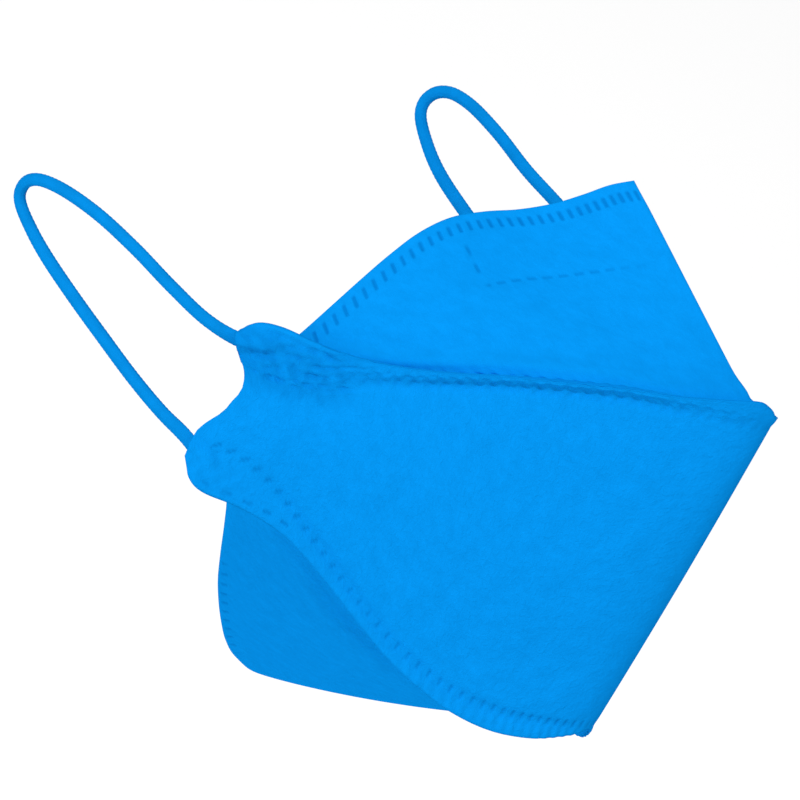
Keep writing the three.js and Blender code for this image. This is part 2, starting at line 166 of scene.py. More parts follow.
def column(tab, name, t, odd=False):
    """Smooth value of one column at t; even or odd about the first row."""
    k, v = tab["key"], tab[name]
    K = np.concatenate([-k[1:3][::-1], k])
    V = np.concatenate([(-v if odd else v)[1:3][::-1], v])
    n = np.arange(len(K))
    lo, hi = np.maximum(n - 1, 0), np.minimum(n + 1, len(K) - 1)
    S = (V[hi] - V[lo]) / (K[hi] - K[lo])
    t = np.asarray(t, float)
    i = np.clip(np.searchsorted(K, t, side="left") - 1, 0, len(K) - 2)
    h = K[i + 1] - K[i]
    u = np.clip((t - K[i]) / h, 0, 1)
    u2, u3 = u * u, u * u * u
    return ((2 * u3 - 3 * u2 + 1) * V[i] + (u3 - 2 * u2 + u) * h * S[i]
            + (3 * u2 - 2 * u3) * V[i + 1] + (u3 - u2) * h * S[i + 1])


def length_along(points, axis):
    """Distance travelled along one axis of a grid of points."""
    step = np.linalg.norm(np.diff(points, axis=axis), axis=-1)
    pad = np.zeros_like(np.take(step, [0], axis=axis))
    return np.concatenate([pad, np.cumsum(step, axis=axis)], axis=axis)


# cheap smooth noise that is the same on each run: sums of waves in set directions
def ripples(x, y, pitch, seed, count=7):
    rng = np.random.RandomState(seed)
    out = np.zeros(np.broadcast(x, y).shape)
    for _ in range(count):
        a = rng.uniform(0, 2 * math.pi)
        k = 2 * math.pi / (pitch * rng.uniform(0.7, 1.6))
        out = out + np.sin(k * (x * math.cos(a) + y * math.sin(a)) + rng.uniform(0, 6.28))
    return out / math.sqrt(count)


# ------------------------------------------------------------------ the body's base shape, -X half
def plan_y(seam, x):
    rr = seam["slope"] ** 2 * seam["radius"]
    return seam["front"] - rr + np.hypot(rr, seam["slope"] * x)


def seam_line(s, which):
    x = column(SEAMS, which + "X", s, odd=True)
    return np.stack([x, plan_y(TOP_SEAM if which == "top" else LOWER_SEAM, x),
                     column(SEAMS, which + "Z", s)], -1)


def up_of(s):
    return norm(seam_line(s, "top") - seam_line(s, "low"))


def out_of(s):
    def at(q):
        p = (seam_line(np.abs(q), "top") + seam_line(np.abs(q), "low")) / 2
        p[..., 0] = np.where(q < 0, -p[..., 0], p[..., 0])
        return p
    along = norm(at(np.minimum(s + 0.004, 1)) - at(np.maximum(s - 0.004, -1)))
    return norm(np.cross(up_of(s), along))


def far_side(p, tuck=0.0):
    x = -p[..., 0]
    fade = 1 - smooth(x, FAR_HALF["start"], FAR_HALF["end"])
    closer = FAR_HALF["closer"] * smooth(x, 0, FAR_HALF["start"]) * fade + tuck * smooth(x, 2, 6) * (1 - smooth(x, 14, 30))
    lower = FAR_HALF["lower"] * smooth(x, 0, FAR_HALF["start"] / 2) * fade
    return np.stack([x - closer, p[..., 1], p[..., 2] - lower], -1)


def cut_of(s, v):
    near = np.clip((s - (1 - NOTCH_REACH)) / NOTCH_REACH, 0, 1)
    return column(NOTCH, "depth", v) / 104 * near


def main_point(s, v):
    """Outer face of the middle panel between its seams, s and v of the same shape."""
    q = s - cut_of(s, v)
    a, b = seam_line(q, "low"), seam_line(q, "top")
    bulge = column(SWELL, "middle", q) * np.sin(math.pi * v)
    return a + (b - a) * v[..., None] + out_of(q) * bulge[..., None]


def flange_tip(s, which, half):
    if which == "low":
        lean = np.radians(LOW_LEAN * smooth(s, 0.0, 0.12) * (1 - smooth(s, 0.6, 0.9)))
        size = column(SEAMS, "lowFlange", s)
        base, along = seam_line(s, "low"), -up_of(s)
    else:
        far = half == "far"
        lean = np.radians(column(SEAMS, "farLean" if far else "lean", s))
        size = column(SEAMS, "farFlange" if far else "topFlange", s)
        base, along = seam_line(s, "top"), up_of(s)
    return base + along * (size * np.cos(lean))[:, None] + out_of(s) * (size * np.sin(lean))[:, None]


LOW_LEAN = 9.0


def bend(a, corner, b, n):
    """n inner points of a soft bend from a to b around the corner."""
    t = (np.arange(1, n + 1) / (n + 1))[None, :, None]
    return (a[:, None] * (1 - t) ** 2 + 2 * corner[:, None] * t * (1 - t) + b[:, None] * t ** 2)


def spaced(lo, hi, n):
    """n fractions from lo to hi for each column, both ends included."""
    t = np.linspace(0, 1, n)[None, :]
    return np.asarray(lo)[:, None] * (1 - t) + np.asarray(hi)[:, None] * t


def crowded(lo, hi, n, ends):
    """As spaced(), with the points closer together at both ends."""
    t = np.linspace(0, 1, n)
    t = t - ends * np.sin(2 * math.pi * t) / (2 * math.pi)
    return np.asarray(lo)[:, None] * (1 - t)[None] + np.asarray(hi)[:, None] * t[None]


def along_line(a, b, f):
    return a[:, None] + (b - a)[:, None] * f[..., None]


def line_run(s, which):
    """Way along a seam from the centre line to station s."""
    order = np.linspace(0, 1, 2001)
    line = seam_line(order, which)
    run = np.concatenate([[0], np.cumsum(np.linalg.norm(np.diff(line, axis=0), axis=-1))])
    return np.interp(s, order, run)


def pressed_wall(from_edge):
    """Thickness of a panel at a distance from its cut edge."""
    return EDGE + (WALL - EDGE) * smooth(from_edge, 0.0, 1.6)


def ridge(x, half):
    return np.exp(-(x / half) ** 2)


def window(x, a, b, soft):
    return smooth(x, a - soft, a + soft) * (1 - smooth(x, b - soft, b + soft))


def top_relief(run, above, from_edge):
    """Outward shift of the cloth round the top seam: run along it, mm above it and mm inside the flange's edge."""
    tab = smooth(run, 74, 86)
    # curled rim of the flange over the upper lobe, with the line that it leaves
    line = 1.75 + 0.25 * np.sin(run / 3.1)
    rim = window(run, 84.5, 99.5, 2.0)
    h = rim * (0.30 * ridge((from_edge - 0.7), 0.8) - 0.42 * ridge(from_edge - line, 0.48))
    # puckers that run along the seam
    warp = 0.7 * np.sin(run / 2.7 + 1.0) + 0.5 * np.sin(run / 1.3 + above * 0.6)
    pucker = ripples(run / 3.4, above + warp * 0.5, 2.1, 11) + 0.7 * ripples(run / 1.8, above + warp * 0.3, 1.25, 23)
    h = h + 0.24 * pucker * tab * window(above, -3.2, 5.4, 1.2) * (1 - 0.4 * smooth(run, 97, 101))
    # the end of the loop, welded behind the lobe, and the hollow under it
    way = 104.0 - run
    end = smooth(run, 95.0, 98.0)
    h = h + end * (0.70 * ridge(above - (2.3 + 0.26 * way), 1.25) - 0.75 * ridge(above - (0.1 + 0.30 * way), 0.85))
    h = h - 0.30 * smooth(run, 88, 98) * ridge(above + 0.8, 1.5)
    # rope-like pinches along the flange
    rope = np.sin(2 * math.pi * (run / 3.0 - above * 0.42))
    rope = rope + 0.7 * ripples(run / 1.4, above, 1.9, 41)
    h = h + 0.12 * rope * window(above, -0.8, 2.6, 0.6) * (1 - tab) * smooth(run, 1.0, 6.0)
    h = h - 0.50 * ridge(above - 0.2, 1.15) * (1 - smooth(run, 62, 84)) * smooth(run, 4.0, 26.0)
    return h


def low_relief(run, below, from_edge):
    """Outward shift of the cloth round the lower seam: run along it, mm below it and mm inside the flange's edge."""
    way = 104.5 - run
    end = smooth(run, 97.5, 99.5)
    h = end * (0.42 * ridge(below - (1.9 + 0.42 * way), 1.2) - 0.25 * ridge(below - (0.2 + 0.42 * way), 0.7))
    h = h + 0.10 * ripples(run / 1.6, below, 2.6, 31) * smooth(run, 90, 97) * window(below, 1.0, 8.0, 1.0)
    # the weld line lies in a shallow valley and the edge beyond it turns outward
    h = h - 0.42 * ridge(below - 0.2, 1.2) * (1 - smooth(run, 78, 92)) * smooth(run, 1.0, 8.0)
    rope = np.sin(2 * math.pi * (tick_phase(LOW_PITCH, run) + below * 0.08))
    h = h + 0.09 * rope * window(below, 0.5, 4.0, 0.6) * (1 - smooth(run, 34, 52)) * smooth(run, 0.5, 4.0)
    return h


def broad_relief(run, height, seed, size=0.22):
    """Shallow hand-made dents over a whole panel."""
    return size * (ripples(run, height, 26.0, seed) + 0.35 * ripples(run, height, 9.0, seed + 1))


def middle_half(s, half):
    """Outer face of the middle panel for one half: columns s, rows from the low edge to the top edge."""
    low_tip, top_tip = flange_tip(s, "low", half), flange_tip(s, "top", half)
    one = np.ones_like(s)
    low, top = main_point(s, 0 * one), main_point(s, one)
    height = np.linalg.norm(top - low, axis=-1)
    f_low, f_top = np.linalg.norm(low_tip - low, axis=-1), np.linalg.norm(top_tip - top, axis=-1)
    r_low, r_top = np.minimum(1.4, 0.4 * f_low), np.minimum(1.6, 0.4 * f_top)
    v = crowded(r_low / height, 1 - r_top / height, 46, 0.72)
    main = main_point(np.repeat(s[:, None], v.shape[1], 1), v)
    low_part = along_line(low_tip, low, spaced(0 * one, 1 - r_low / f_low, 15))
    top_part = along_line(top, top_tip, spaced(r_top / f_top, one, 13))
    grid = np.concatenate([
        low_part, bend(low_part[:, -1], low, main[:, 0], 4), main,
        bend(main[:, -1], top, top_part[:, 0], 5), top_part], 1)
    way = length_along(grid, 1)
    from_top = way[:, -1:] - way
    above, below = f_top[:, None] - from_top, f_low[:, None] - way
    out = out_of(s)
    shift = top_relief(line_run(s, "top")[:, None], above, from_top) + low_relief(line_run(s, "low")[:, None], below, way)
    inside = window(way, 8.0, 1e9, 5.0) * smooth(from_top, 4.0, 14.0)
    shift = shift + inside * broad_relief(line_run(s, "low")[:, None] * (1 if half == "near" else -1), way, 5) * smooth(s, 0.03, 0.15)[:, None]
    return grid + out[:, None] * shift[..., None]


def folded_half(s, half, which):
    """Outer face of a panel folded back at a seam: rows from the flange tip round the seam to the face edge."""
    one = np.ones_like(s)
    upper = which == "upper"
    seam = main_point(s, one if upper else 0 * one)
    tip = flange_tip(s, "top" if upper else "low", half)
    edge = np.stack([column(FACE_EDGES, ("nose" if upper else "chin") + a, s, odd=a == "X") for a in "XYZ"], -1)
    back = WALL + GAP + SET_BACK + (FOLD_SET_BACK * (1 - smooth(s, 0, FOLD_REACH)) if upper else 0 * one)
    if half == "far":
        back = back + CLOSER_BACK * smooth(s, 0, 0.06) * (1 - smooth(s, 0.14, 0.36))
    out = out_of(s)
    along = norm(tip - seam)
    across = norm(out - along * (out * along).sum(-1, keepdims=True))
    turn = norm(across + out)
    corner = seam - turn * ((back + WALL) / (turn * out).sum(-1))[:, None]
    span = edge - corner
    size = np.linalg.norm(span, axis=-1)
    normal = norm(out - span * ((out * span).sum(-1) / size ** 2)[:, None])
    swell, full = column(SWELL, "upper" if upper else "chin", s), 1.0 if upper else 0.66
    # the flange lies against the wall of the middle panel and leaves it towards the seam
    flange = np.linalg.norm(tip - seam, axis=-1)
    r_in = np.minimum(1.9, 0.45 * flange)
    f = spaced(0.0 * one, 1 - r_in / flange, 9)
    way = f * flange[:, None]
    depth = pressed_wall(way) + np.maximum(EDGE + GAP + (back[:, None] - EDGE - GAP) * f ** 1.5, pressed_wall(way) + GAP)
    first = tip[:, None] + (seam - tip)[:, None] * f[..., None] - across[:, None] * depth[..., None]
    r_main = np.minimum(1.8, 0.3 * size)
    v = run_rows(r_main / size, size, UPPER_BANDS if upper else CHIN_BANDS)
    lift = swell[:, None] * np.sin(math.pi * np.minimum(v, 0.999)) ** full
    d = v * size[:, None]
    rise = np.zeros_like(s)
    if upper:                            # fuller at the ridge and behind the flange
        rise = UPPER_FULL * (0.4 + 0.6 * smooth(s, 0.06, 0.2)) * (1 - smooth(s, 0.78, 0.92))
        lift = lift + 0.15 * (1 - smooth(s, 0.10, 0.30))[:, None] * (1 - smooth(v, 0.85, 1.0))
        lift = lift + rise[:, None] * np.exp(-((d - 2.8) / 3.0) ** 2)
    else:                                # the hollow band behind the lower seam
        lift = lift - CHIN_DENT * np.exp(-((d - 10.5) / 5.5) ** 2) * smooth(d, 0, 4) * (1 - smooth(s, 0.80, 0.95))[:, None]
    main = corner[:, None] + span[:, None] * v[..., None] + normal[:, None] * lift[..., None]
    turn_in = corner + normal * (0.9 * rise)[:, None]
    grid = np.concatenate([first, bend(first[:, -1], turn_in, main[:, 0], 6), main], 1)
    # it shares the wrinkles of the flange, which die away behind the seam
    way = length_along(grid, 1)
    above = flange[:, None] - way
    fade = np.exp(-np.maximum(-above, 0) / 0.9)
    run = line_run(s, "top" if upper else "low")[:, None]
    shift = (top_relief if upper else low_relief)(run, np.maximum(above, 0), flange[:, None] - np.maximum(above, 0))
    return grid + out[:, None] * (shift * fade)[..., None]


SET_BACK = 1.0                          # how far behind the middle panel a fold starts
FOLD_SET_BACK, FOLD_REACH = 2.2, 0.16   # more for the upper panel, beside the centre line
CLOSER_BACK, TUCK = 1.5, 0.5            # more on the half that stands closer
CHIN_DENT = 2.2                         # depth of the hollow behind the lower seam
UPPER_FULL = 1.65                        # how much the upper panel swells behind the flange


# rows of a folded panel, measured in mm from its seam, and how many rows each band has
UPPER_BANDS = [(0.0, 5.6, 17), (5.6, 15.1, 15), (15.1, 17.5, 8)]
CHIN_BANDS = [(0.0, 4.8, 14), (4.8, 12.0, 5)]


def run_rows(first, size, bands):
    """Shares of the way from seam to face edge for each column."""
    total = size * (1 - first)
    squeeze = np.minimum(1.0, total / (bands[-1][1] * 1.35))     # near the tab there is less room
    cols = [np.zeros_like(size)]
    for a, b, n in bands:
        cols += [squeeze * (a + (b - a) * (i + 1) / n) for i in range(n)]
    last = cols[-1]
    rest = 22
    cols += [last + (total - last) * (i + 1) / rest for i in range(rest)]
    back = np.stack(cols, 1)[:, ::-1]
    return 1 - back / size[:, None]


def both_halves(half_grid, tuck=0.0):
    t = np.arange(HALF_COLUMNS + 1) / HALF_COLUMNS
    s = t - 0.035 * np.sin(2 * math.pi * t) / (2 * math.pi) * 2
    near, far = half_grid(s, "near"), far_side(half_grid(s, "far"), tuck)
    return np.concatenate([s[:0:-1], s]), np.sign(np.arange(2 * HALF_COLUMNS + 1) - HALF_COLUMNS), \
        np.concatenate([far[:0:-1], near])


def grid_normals(g):
    dc = np.gradient(g, axis=0)
    dr = np.gradient(g, axis=1)
    return norm(np.cross(dr, dc))


# ------------------------------------------------------------------ welds and relief
def box_pulse(x, half, soft):
    return 1 - smooth(np.abs(x), half - soft, half + soft)


def tick_phase(table_of_pitch, run):
    """How many ticks lie between the centre line and run, for a pitch that changes along the row."""
    at = np.linspace(0, 112, 2241)
    pitch = np.interp(at, table_of_pitch[0], table_of_pitch[1])
    count = np.concatenate([[0], np.cumsum(0.05 / ((pitch[1:] + pitch[:-1]) / 2))])
    return np.interp(np.abs(run), at, count) * np.sign(run)


def row_of_ticks(table_of_pitch, run, depth, centre, length, width, slant=0.0, shift=0.5):
    """Weld ticks across a row whose pitch, place and slant may change along it."""
    phase = tick_phase(table_of_pitch, run) + shift * np.sign(run)
    pitch = np.interp(np.abs(run), table_of_pitch[0], table_of_pitch[1])
    x = (phase - np.round(phase)) * pitch * np.sign(run)
    y = depth - centre
    a = np.radians(slant)
    x, y = x * np.cos(a) - y * np.sin(a), x * np.sin(a) + y * np.cos(a)
    return box_pulse(x, width / 2, 0.20) * box_pulse(y, length / 2, 0.26)


# pitch of each row of ticks, mm, against the way from the centre line
UPPER_PITCH = ((0, 8, 15, 27, 41, 55, 70, 105), (1.60, 1.65, 1.87, 1.95, 2.10, 2.42, 2.50, 2.50))
LOW_PITCH = ((0, 15, 27, 35, 45, 60, 105), (1.70, 1.80, 2.45, 2.75, 3.00, 3.15, 3.12))
TOP_PITCH = ((0, 105), (3.0, 3.0))
DENT_PITCH = ((0, 105), (3.9, 3.9))
OUTER_PITCH = ((0, 105), (4.75, 4.75))
CHIN_PITCH = ((0, 105), (3.5, 3.5))
POCKET_PITCH = ((0, 40), (2.85, 2.85))


# ------------------------------------------------------------------ mesh building
def closed_sheet(name, outer, inner, keep, attributes):
    """A closed cloth: the outer grid, the inner grid at the kept rows only, and the rim between them."""
    nc, nr = outer.shape[:2]
    kept = inner[:, keep]
    nk = len(keep)
    verts = np.concatenate([outer.reshape(-1, 3), kept.reshape(-1, 3)])
    A = np.arange(nc * nr).reshape(nc, nr)
    B = nc * nr + np.arange(nc * nk).reshape(nc, nk)

    def quads(a, b, c, d):
        return np.stack([a.ravel(), b.ravel(), c.ravel(), d.ravel()], -1)
    faces = [
        quads(A[:-1, :-1], A[:-1, 1:], A[1:, 1:], A[1:, :-1]),
        quads(B[:-1, :-1], B[1:, :-1], B[1:, 1:], B[:-1, 1:]),
        quads(A[:-1, 0], A[1:, 0], B[1:, 0], B[:-1, 0]),
        quads(A[1:, -1], A[:-1, -1], B[:-1, -1], B[1:, -1]),
    ]
    tris = []
    for end, flip in ((0, False), (nc - 1, True)):
        for j in range(nk - 1):
            lo, hi = keep[j], keep[j + 1]
            fan = [(B[end, j], A[end, i + 1], A[end, i]) for i in range(lo, hi)]
            fan.append((B[end, j], B[end, j + 1], A[end, hi]))
            tris += [t[::-1] if flip else t for t in fan]
    Q, T = np.concatenate(faces), np.array(tris)
    mesh = bpy.data.meshes.new(name)
    mesh.vertices.add(len(verts))
    mesh.vertices.foreach_set("co", ((verts - NOSE) / 1000).ravel())
    loops = np.concatenate([Q.ravel(), T.ravel()])
    mesh.loops.add(len(loops))
    mesh.loops.foreach_set("vertex_index", loops)
    starts = np.concatenate([np.arange(len(Q)) * 4, len(Q) * 4 + np.arange(len(T)) * 3])
    mesh.polygons.add(len(starts))
    mesh.polygons.foreach_set("loop_start", starts)
    mesh.update(calc_edges=True)
    for key, kind, grid in attributes:
        data = np.concatenate([grid.reshape(nc * nr, -1), grid[:, keep].reshape(nc * nk, -1)])
        layer = mesh.attributes.new(key, kind, "POINT")
        layer.data.foreach_set("value" if kind == "FLOAT" else "vector", data.ravel().astype(np.float32))
    mesh.validate()
    obj = bpy.data.objects.new(name, mesh)
    bpy.context.scene.collection.objects.link(obj)
    face_out(mesh)
    for p in mesh.polygons:
        p.use_smooth = True
    return obj


def face_out(mesh):
    """Turns the faces outward if the closed mesh has a negative volume."""
    mesh.calc_loop_triangles()
    n = len(mesh.loop_triangles)
    tri = np.zeros(n * 3, np.int32)
    mesh.loop_triangles.foreach_get("vertices", tri)
    co = np.zeros(len(mesh.vertices) * 3)
    mesh.vertices.foreach_get("co", co)
    p = co.reshape(-1, 3)[tri.reshape(-1, 3)]
    if np.einsum("ij,ij->i", p[:, 0], np.cross(p[:, 1], p[:, 2])).sum() < 0:
        mesh.flip_normals()


# ---- middle panel
def build_middle():
    s, side, g = both_halves(middle_half)
    n = grid_normals(g)
    up_run = length_along(g, 1)
    total = up_run[:, -1:]
    low_w = column(SEAMS, "lowFlange", s)[:, None]
    top_w = np.where(side > 0, column(SEAMS, "topFlange", s), column(SEAMS, "farFlange", s))[:, None]
    from_low, from_top = up_run, total - up_run
    low_run, top_run = seam_run(s, side, "low")[:, None], seam_run(s, side, "top")[:, None]
    a_low, a_top = np.abs(low_run), np.abs(top_run)
    hand = np.where(low_run < 0, -1, 1)
    # lower seam: slanted dashes along the weld line, and a second row round the lower lobe
    slant = -hand * np.interp(a_low, (0, 36, 46, 54, 64, 90, 105), (0, 4, 12, 26, 43, 50, 52))
    length = np.interp(a_low, (0, 30, 50, 62, 80, 95, 105), (1.9, 1.7, 1.5, 1.8, 2.1, 2.3, 2.1))
    low_ticks = row_of_ticks(LOW_PITCH, low_run, from_low - low_w, np.interp(a_low, (0, 20, 60, 105), (0.55, 0.15, -0.55, -0.55)),
                             length, 0.56, slant)
    low_ticks = low_ticks * np.interp(a_low, (0, 3, 60, 100.5, 103), (0.4, 0.9, 0.8, 1.0, 0.0))
    outer_ticks = row_of_ticks(OUTER_PITCH, low_run, from_low, np.interp(a_low, (0, 78, 84, 95, 98, 105), (2.2, 2.2, 2.0, 1.55, 1.6, 3.0)),
                               0.55, 2.1, 0.0, shift=0.15)
    outer_ticks = outer_ticks * window(a_low, 77.0, 99.5, 1.5)
    # top seam: dents by the tab and pinches along the flange
    dents = row_of_ticks(DENT_PITCH, top_run, top_w - from_top, np.interp(a_top, (0, 80, 87, 92, 105), (0.0, -0.2, -1.0, 0.0, 0.0)),
                         0.75, 1.7, hand * 45, shift=0.15) * window(a_top, 79.0, 100.5, 1.5)
    pins = row_of_ticks(TOP_PITCH, top_run, top_w - from_top, np.interp(a_top, (0, 17, 31, 43, 52, 58, 105), (-0.3, -0.9, -1.3, -0.9, -0.4, 0.0, 0.0)),
                        0.85, 1.7, hand * 52, shift=0.0) * window(a_top, 3.0, 79.0, 1.5)
    # the cut edges are pressed in and darker: partly their fused edge, partly painted shade that damps the bright
    # line along the edge
    rim = 0.35 * (1 - smooth(np.minimum(from_low, from_top), 0.15, 0.6))
    pressed = np.clip(0.75 * low_ticks + 0.8 * outer_ticks + 0.30 * dents + 0.22 * pins + rim, 0, 1)
    outer = g - n * (0.30 * pressed)[..., None]
    # the fused strip along the top seam is denser, and is darkened further as painted shade of the valley at the
    # flange; round the tab a patchy painted shade stands for the shade of its puckers
    above = top_w - from_top
    patch = 0.5 + 0.35 * ripples(top_run / 1.7, above, 2.3, 57)
    fused_strip_and_shade = window(above, -0.6, 2.0, 0.4) * (0.55 + 0.35 * patch) * (1 - smooth(a_top, 74, 86)) * (0.3 + 0.7 * smooth(a_top, 14, 34))
    tab_painted_shade = window(above, -6.5, 5.6, 2.0) * (0.45 + 0.5 * patch) * smooth(a_top, 74, 86)
    # one colour channel: pressed welds plus the painted shade of the strip, the tab and the edges
    weld_and_shade = np.clip(pressed + 0.42 * fused_strip_and_shade + 0.74 * tab_painted_shade, 0, 1)
    wall = pressed_wall(np.minimum(from_low, from_top))
    inner = g - n * wall[..., None]
    keep = np.unique(np.concatenate([[0], np.arange(2, g.shape[1] - 2, 3), [g.shape[1] - 1]]))
    flat = np.stack([(low_run + top_run) / 2 + 0 * up_run, up_run, 0 * up_run], -1)
    return closed_sheet("middle_panel_cloth", outer, inner, keep,
                        [("weld_and_shade", "FLOAT", weld_and_shade), ("flat", "FLOAT_VECTOR", flat)]), (s, side, g, from_low, from_top)


def seam_run(s, side, which):
    """Way along a seam from the centre line, negative on the +X half."""
    order = np.linspace(0, 1, 2001)
    line = seam_line(order, which)
    run = np.concatenate([[0], np.cumsum(np.linalg.norm(np.diff(line, axis=0), axis=-1))])
    return np.where(side < 0, -1, 1) * np.interp(s, order, run)


def edge_run(g, column_at):
    """Way along one row of the grid from the centre line, negative on the +X half."""
    run = length_along(g[:, column_at], 0)
    return run - run[HALF_COLUMNS]


def build_folded(which):
    s, side, g = both_halves(lambda q, half: folded_half(q, half, which), TUCK)
    n = grid_normals(g)
    mid = HALF_COLUMNS // 2
    away = np.array([0, 0, 1.0]) if which == "upper" else np.array([0, 0, -1.0])
    if (n[mid, -20] * away).sum() < 0:
        n = -n
    run = length_along(g, 1)
    from_edge, from_tip = run[:, -1:] - run, run
    wall = pressed_wall(np.minimum(from_edge, from_tip))
    along = edge_run(g, -8)[:, None]
    away = np.abs(along)
    if which == "upper":
        rim = row_of_ticks(UPPER_PITCH, along, from_edge, np.interp(away, (0, 35, 60, 105), (3.2, 2.75, 3.05, 3.0)),
                           np.interp(away, (0, 40, 60, 105), (2.15, 2.1, 2.55, 2.5)), 0.66)
        rim = rim * window(away, 0.4, 96.0, 0.4)
        # dashes that close the pocket of the nose wire
        pocket = row_of_ticks(POCKET_PITCH, along, from_edge, 16.35 + 1.9 * ridge(along, 11.0), 0.62, 1.7, 0.0, shift=0.36)
        pocket = pocket * (1 - smooth(away, 35.6, 36.4)) * np.interp(away, (0, 8, 16, 40), (0.25, 0.35, 0.8, 0.9))
        k = (from_edge - 7.9) / 4.25
        side_dash = box_pulse(away - 36.0, 0.33, 0.2) * box_pulse((k - np.round(k)) * 4.25, 1.0, 0.26) * window(from_edge, 5.9, 14.6, 0.2)
        weld_and_shade = np.clip(0.9 * rim + 0.75 * pocket + 0.75 * side_dash, 0, 1)
    else:
        hand = np.where(along < 0, -1, 1)
        weld_and_shade = 0.6 * row_of_ticks(CHIN_PITCH, along, from_edge, 2.2, 2.5, 0.75, hand * 25) * window(away, 9.0, 44.0, 1.0)
    # the flange tip's edge is darker: partly its fused edge, partly painted shade that damps the bright line along
    # it
    weld_and_shade = np.clip(weld_and_shade + 0.35 * (1 - smooth(from_tip, 0.15, 0.6)), 0, 1)
    height = broad_relief(along, run, 15 if which == "upper" else 25, 0.20) * smooth(from_edge, 3.0, 12.0) * smooth(from_tip, 9.0, 18.0)
    g = g + n * (height * smooth(away, 2.0, 14.0))[..., None]
    outer = g - n * (0.26 * weld_and_shade)[..., None]
    inner = g - n * (wall - 0.10 * weld_and_shade)[..., None]
    nr = g.shape[1]
    keep = np.unique(np.concatenate([np.arange(0, 15, 2), np.arange(15, nr - 20, 4), np.arange(nr - 20, nr, 2), [nr - 1]]))
    flat = np.stack([along + 0 * run, run, 0 * run], -1)
    return closed_sheet(which + "_panel_cloth", outer, inner, keep,
                        [("weld_and_shade", "FLOAT", weld_and_shade), ("flat", "FLOAT_VECTOR", flat)]), (s, side, g, from_edge, from_tip)


# ------------------------------------------------------------------ ear loops
def loop_path(side):
    far = side > 0
    y0 = EAR_LOOP["y"][0]
    p = np.stack([side * -EAR_LOOP["x"],
                  y0 + (EAR_LOOP["y"] - y0) * (FAR_LOOP_STRETCH if far else 1.0),
                  EAR_LOOP["z"] + (EAR_LOOP["rise"] if far else 0.0)], -1)
    ext = np.concatenate([[2 * p[0] - p[1]], p, [2 * p[-1] - p[-2]]])
    pts = []
    for i in range(1, len(ext) - 2):
        a, b, c, d = ext[i - 1:i + 3]
        t0, t1, t2 = (np.linalg.norm(y - x) ** 0.5 for x, y in ((a, b), (b, c), (c, d)))
        m1 = ((b - a) / t0 - (c - a) / (t0 + t1) + (c - b) / t1) * t1
        m2 = ((c - b) / t1 - (d - b) / (t1 + t2) + (d - c) / t2) * t1
        u = np.linspace(0, 1, 60, endpoint=False)[:, None]
        pts.append(b + u * m1 + u * u * (-3 * b + 3 * c - 2 * m1 - m2) + u ** 3 * (2 * b - 2 * c + m1 + m2))
    pts = np.concatenate(pts + [ext[-2:-1]])
    run = np.concatenate([[0], np.cumsum(np.linalg.norm(np.diff(pts, axis=0), axis=-1))])
    n = int(run[-1] / 0.24)
    at = np.linspace(0, run[-1], n)
    return np.stack([np.interp(at, run, pts[:, k]) for k in range(3)], -1), at


def build_loop(side, name):
    path, at = loop_path(side)
    total = at[-1]
    tangent = norm(np.gradient(path, axis=0))
    ref = np.array([1.0, 0, 0])
    flat_dir = norm(ref - tangent * (tangent @ ref)[:, None])
    other = np.cross(tangent, flat_dir)
    sides = 36
    phi = np.arange(sides) / sides * 2 * math.pi
    end = np.minimum(at, total - at)
    pressed = 1 - smooth(end, 4.0, 13.0)
    q = at / total
    grow = (0.07 + 0.11 * smooth(q, 0.50, 0.62)) * (1 - np.exp(-((q - 0.46) / 0.06) ** 2))
    thick = CORD / 2 * (0.92 - 0.42 * pressed)
    wide = CORD / 2 * ((1.14 if side > 0 else 1.08) + 0.20 * pressed + grow)
    c, sn = np.cos(phi)[None, :], np.sin(phi)[None, :]
    wales = 9
    lane = phi[None, :] * wales / (2 * math.pi)
    bow = np.abs((lane % 1) - 0.5)
    stitch = 0.5 + 0.5 * np.cos(2 * math.pi * (at[:, None] / 0.95 + 1.1 * bow))
    knit = 0.05 * stitch + 0.06 * np.cos(math.pi * ((lane % 1) - 0.5))
    r = 1 + (knit - 0.09) / (CORD / 2)
    ring = path[:, None] + flat_dir[:, None] * (thick[:, None] * c * r)[..., None] \
        + other[:, None] * (wide[:, None] * sn * r)[..., None]
    n = len(path)
    verts = ring.reshape(-1, 3)
    idx = np.arange(n * sides).reshape(n, sides)
    nxt = np.roll(idx, -1, 1)
    quads = np.stack([idx[:-1], nxt[:-1], nxt[1:], idx[1:]], -1).reshape(-1, 4)
    mesh = bpy.data.meshes.new(name)
    faces = [tuple(q) for q in quads.tolist()] + [tuple(idx[0][::-1].tolist()), tuple(idx[-1].tolist())]
    mesh.from_pydata(((verts - NOSE) / 1000).tolist(), [], faces)
    layer = mesh.attributes.new("flat", "FLOAT_VECTOR", "POINT")
    flat = np.stack([np.repeat(at[:, None], sides, 1), np.repeat(phi[None] * CORD / 2, n, 0), np.repeat(at[:, None] * 0, sides, 1)], -1)
    layer.data.foreach_set("vector", flat.ravel().astype(np.float32))
    mesh.validate()
    obj = bpy.data.objects.new(name, mesh)
    bpy.context.scene.collection.objects.link(obj)
    face_out(mesh)
    for p in mesh.polygons:
        p.use_smooth = True
    centre = [((p - NOSE) / 1000).tolist() for p in path[::4]] + [((path[-1] - NOSE) / 1000).tolist()]
    return obj, centre, total / 1000


# ------------------------------------------------------------------ materials
def new_material(name):
    m = bpy.data.materials.new(name)
    m.use_nodes = True
    nt = m.node_tree
    nt.nodes.clear()
    out = nt.nodes.new("ShaderNodeOutputMaterial")
    bsdf = nt.nodes.new("ShaderNodeBsdfPrincipled")
    nt.links.new(bsdf.outputs["BSDF"], out.inputs["Surface"])
    return m, nt, bsdf


